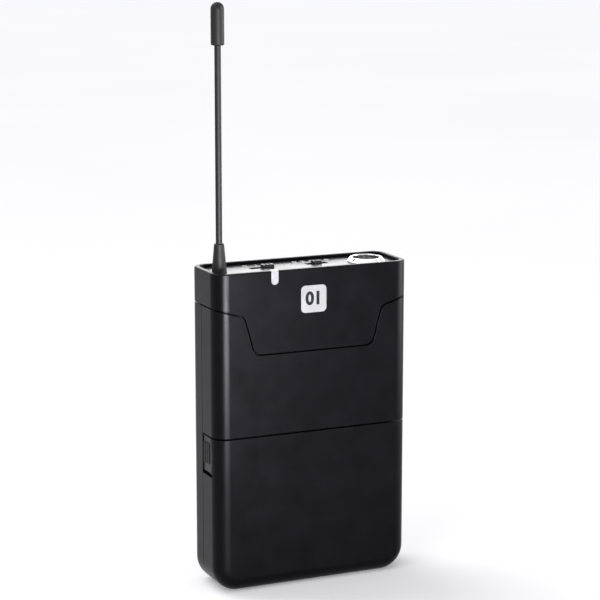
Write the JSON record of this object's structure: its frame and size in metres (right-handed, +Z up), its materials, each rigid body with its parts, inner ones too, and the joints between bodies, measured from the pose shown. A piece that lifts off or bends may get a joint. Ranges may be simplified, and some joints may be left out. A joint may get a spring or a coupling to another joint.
{
  "type": "wireless bodypack transmitter",
  "caption": "Pocket wireless audio transmitter with a whip antenna, slide switches, mini-XLR input, hinged battery door with side latches, and a sprung wire belt clip.",
  "frame": {"origin": "centre of the underside, at the middle of the casing's width and depth", "axes": "+Z up along the antenna, +X to the right seen from the front, +Y to the back, towards the belt clip"},
  "size_m": [0.0616, 0.027, 0.1713],
  "materials": {
    "casing_black": "satin",
    "plate_black": "satin",
    "latch_black": "satin",
    "light_white": "gloss",
    "badge_white": "satin",
    "steel_pin": "brushed",
    "screw_steel": "blackened",
    "clip_steel": "polished",
    "spring_steel": "polished",
    "foam_grey": "matte",
    "tray_black": "matte",
    "cell_can": "satin",
    "cell_label": "gloss",
    "contact_nickel": "satin",
    "button_grey": "matte",
    "switch_black": "matte",
    "board_green": "solder mask",
    "shield_tin": "satin",
    "chip_black": "matte",
    "capacitor_can": "satin",
    "chip_tan": "matte",
    "crystal_can": "satin",
    "header_black": "matte",
    "led_white": "gloss",
    "switch_metal": "satin",
    "knob_black": "satin",
    "socket_chrome": "polished",
    "insert_black": "matte",
    "pin_gold": "plated",
    "boot_rubber": "matte",
    "whip_rubber": "satin",
    "tip_rubber": "matte",
    "ferrule_brass": "turned"
  },
  "bodies": {
    "housing": {"top_cap": "casing_black", "top_plate": "plate_black", "light_pipe": "light_white", "badge": "badge_white", "front_shell": "casing_black", "rear_shell": "casing_black", "door_hinge_pin": "steel_pin", "battery_tray": "tray_black", "battery_upper": "cell_can", "battery_upper_sleeve": "cell_label", "battery_lower": "cell_can", "battery_lower_sleeve": "cell_label", "contact_link": "contact_nickel", "contact_positive": "contact_nickel", "contact_negative": "contact_nickel", "contact_springs": "spring_steel", "pairing_switch": "switch_black", "pairing_board": "board_green", "main_board": "board_green", "top_board": "board_green", "rf_shield": "shield_tin", "board_chips": "chip_black", "board_capacitors": "capacitor_can", "board_chip_parts": "chip_tan", "board_crystal": "crystal_can", "board_header": "header_black", "status_led": "led_white", "power_switch_body": "switch_metal", "gain_switch_body": "switch_metal", "socket_shell": "socket_chrome", "socket_insert": "insert_black", "socket_pins": "pin_gold", "socket_nut": "socket_chrome", "antenna_boot": "boot_rubber", "antenna_whip": "whip_rubber", "antenna_tip": "tip_rubber", "antenna_ferrule": "ferrule_brass", "antenna_contact": "contact_nickel", "housing_screws": "screw_steel"},
    "battery_door": {"battery_door": "casing_black", "door_foam": "foam_grey", "latch_spring_left": "spring_steel", "latch_spring_right": "spring_steel"},
    "latch_left": {"latch_left": "latch_black"},
    "latch_right": {"latch_right": "latch_black"},
    "power_knob": {"power_knob": "knob_black"},
    "gain_knob": {"gain_knob": "knob_black"},
    "pairing_button": {"pairing_button": "button_grey"},
    "belt_clip": {"belt_clip": "clip_steel"}
  },
  "joints": [
    {"name": "door_hinge", "type": "hinge", "parent": "housing", "child": "battery_door", "pos_m": [0, -0.0011, 0.002], "axis": [1, 0, 0], "range_deg": [0, 90]},
    {"name": "latch_left_press", "type": "slide", "parent": "battery_door", "child": "latch_left", "axis": [1, 0, 0], "range_m": [0, 0.0008], "stiffness_N_per_m": 300, "springref_m": -0.001, "deforming": ["latch_spring_left"]},
    {"name": "latch_right_press", "type": "slide", "parent": "battery_door", "child": "latch_right", "axis": [-1, 0, 0], "range_m": [0, 0.0008], "stiffness_N_per_m": 300, "springref_m": -0.001, "deforming": ["latch_spring_right"]},
    {"name": "power_switch_slide", "type": "slide", "parent": "housing", "child": "power_knob", "axis": [-1, 0, 0], "range_m": [0, 0.0036]},
    {"name": "gain_switch_slide", "type": "slide", "parent": "housing", "child": "gain_knob", "axis": [1, 0, 0], "range_m": [-0.0019, 0.0019]},
    {"name": "pairing_button_press", "type": "slide", "parent": "housing", "child": "pairing_button", "axis": [0, 1, 0], "range_m": [0, 0.0003], "stiffness_N_per_m": 300, "springref_m": -0.0005},
    {"name": "clip_hinge", "type": "hinge", "parent": "housing", "child": "belt_clip", "pos_m": [0, 0.0129, 0.078], "axis": [1, 0, 0], "range_deg": [0, 15], "stiffness_Nm_per_rad": 0.5, "springref_deg": -5.73}
  ]
}
